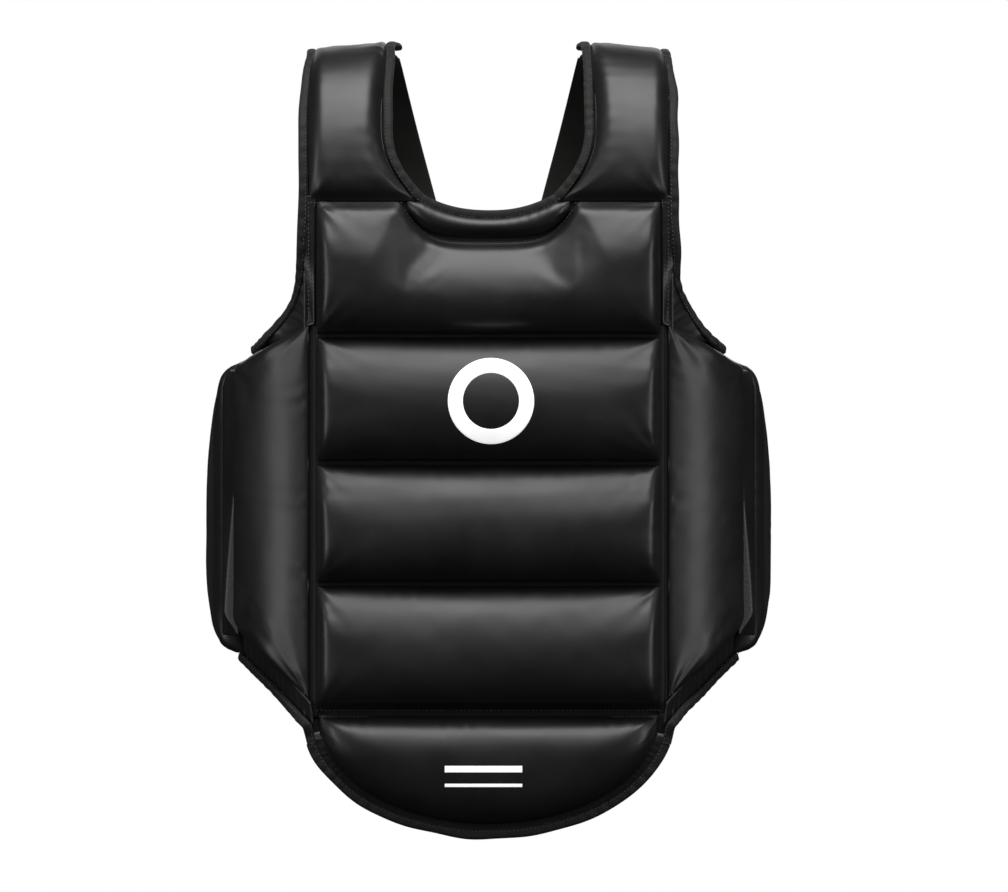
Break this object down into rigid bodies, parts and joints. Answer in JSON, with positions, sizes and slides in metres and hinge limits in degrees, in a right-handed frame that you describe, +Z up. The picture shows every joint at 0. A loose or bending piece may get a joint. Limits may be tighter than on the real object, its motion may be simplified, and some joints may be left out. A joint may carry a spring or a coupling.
{
  "type": "chest protector",
  "caption": "Padded body protector for martial arts and boxing training, with sewn horizontal channels, folding side wings, a belly flap, shoulder straps and a back closure.",
  "frame": {"origin": "midway between the undersides of the two shoulder straps at their highest point, where the wearer's shoulders carry it", "axes": "+Z up, -Y the way the wearer faces, +X to the wearer's left"},
  "size_m": [0.4532, 0.2358, 0.6342],
  "materials": {
    "leather": "satin",
    "lining": "matte",
    "binding": "matte",
    "foam": "matte",
    "harness": "satin",
    "elastic": "matte",
    "tab": "matte",
    "hook": "matte",
    "loop_pile": "matte"
  },
  "bodies": {
    "front_panel": {"channel_1_cover": "leather", "channel_2_cover": "leather", "channel_3_cover": "leather", "channel_4_cover": "leather", "collar_cover": "leather", "channel_1_foam": "foam", "channel_2_foam": "foam", "channel_3_foam": "foam", "channel_4_foam": "foam", "collar_foam": "foam", "front_lining": "lining", "neck_binding": "binding", "right_shoulder_pad_cover": "leather", "right_shoulder_pad_foam": "foam", "right_shoulder_lining": "lining", "right_side_panel": "leather", "right_armhole_binding": "binding", "left_shoulder_pad_cover": "leather", "left_shoulder_pad_foam": "foam", "left_shoulder_lining": "lining", "left_side_panel": "leather", "left_armhole_binding": "binding"},
    "belly_flap": {"belly_flap_cover": "leather", "belly_flap_foam": "foam", "belly_flap_lining": "lining", "belly_flap_binding": "binding"},
    "right_wing": {"right_wing_cover": "leather", "right_wing_foam": "foam", "right_wing_lining": "lining", "right_wing_top_binding": "binding", "right_wing_hem_binding": "binding", "right_gusset": "leather"},
    "right_rib_pad": {"right_rib_cover": "leather", "right_rib_foam": "foam", "right_rib_lining": "lining", "right_rib_top_binding": "binding", "right_rib_hem_binding": "binding", "right_waist_elastic": "elastic"},
    "right_hook_tab": {"right_tab": "tab", "right_hook_patch": "hook"},
    "left_wing": {"left_wing_cover": "leather", "left_wing_foam": "foam", "left_wing_lining": "lining", "left_wing_top_binding": "binding", "left_wing_hem_binding": "binding", "left_gusset": "leather"},
    "left_rib_pad": {"left_rib_cover": "leather", "left_rib_foam": "foam", "left_rib_lining": "lining", "left_rib_top_binding": "binding", "left_rib_hem_binding": "binding", "left_waist_elastic": "elastic"},
    "left_hook_tab": {"left_tab": "tab", "left_hook_patch": "hook"},
    "back_harness": {"right_rear_strap": "harness", "left_rear_strap": "harness", "back_yoke": "harness", "loop_patch": "loop_pile"}
  },
  "joints": [
    {"name": "right_wing_fold", "type": "hinge", "parent": "front_panel", "child": "right_wing", "pos_m": [-0.141, -0.09, -0.36], "axis": [0, 0, 1], "range_deg": [0, 45], "stiffness_Nm_per_rad": 0.3},
    {"name": "right_rib_fold", "type": "hinge", "parent": "right_wing", "child": "right_rib_pad", "pos_m": [-0.19214, -0.01962, -0.36], "axis": [0, 0, 1], "range_deg": [0, 30], "stiffness_Nm_per_rad": 0.3},
    {"name": "right_tab_peel", "type": "hinge", "parent": "right_rib_pad", "child": "right_hook_tab", "pos_m": [-0.05675, 0.1074, -0.394], "axis": [0, 0, 1], "range_deg": [0, 100]},
    {"name": "left_wing_fold", "type": "hinge", "parent": "front_panel", "child": "left_wing", "pos_m": [0.141, -0.09, -0.36], "axis": [0, 0, -1], "range_deg": [0, 45], "stiffness_Nm_per_rad": 0.3},
    {"name": "left_rib_fold", "type": "hinge", "parent": "left_wing", "child": "left_rib_pad", "pos_m": [0.19214, -0.01962, -0.36], "axis": [0, 0, -1], "range_deg": [0, 30], "stiffness_Nm_per_rad": 0.3},
    {"name": "left_tab_peel", "type": "hinge", "parent": "left_rib_pad", "child": "left_hook_tab", "pos_m": [0.05675, 0.1074, -0.394], "axis": [0, 0, -1], "range_deg": [0, 100]},
    {"name": "belly_flap_fold", "type": "hinge", "parent": "front_panel", "child": "belly_flap", "pos_m": [0, -0.089, -0.518], "axis": [-1, 0, 0], "range_deg": [-12, 35], "stiffness_Nm_per_rad": 0.5},
    {"name": "harness_fold", "type": "hinge", "parent": "front_panel", "child": "back_harness", "pos_m": [0, 0.011, -0.002], "axis": [-1, 0, 0], "range_deg": [0, 20]}
  ]
}
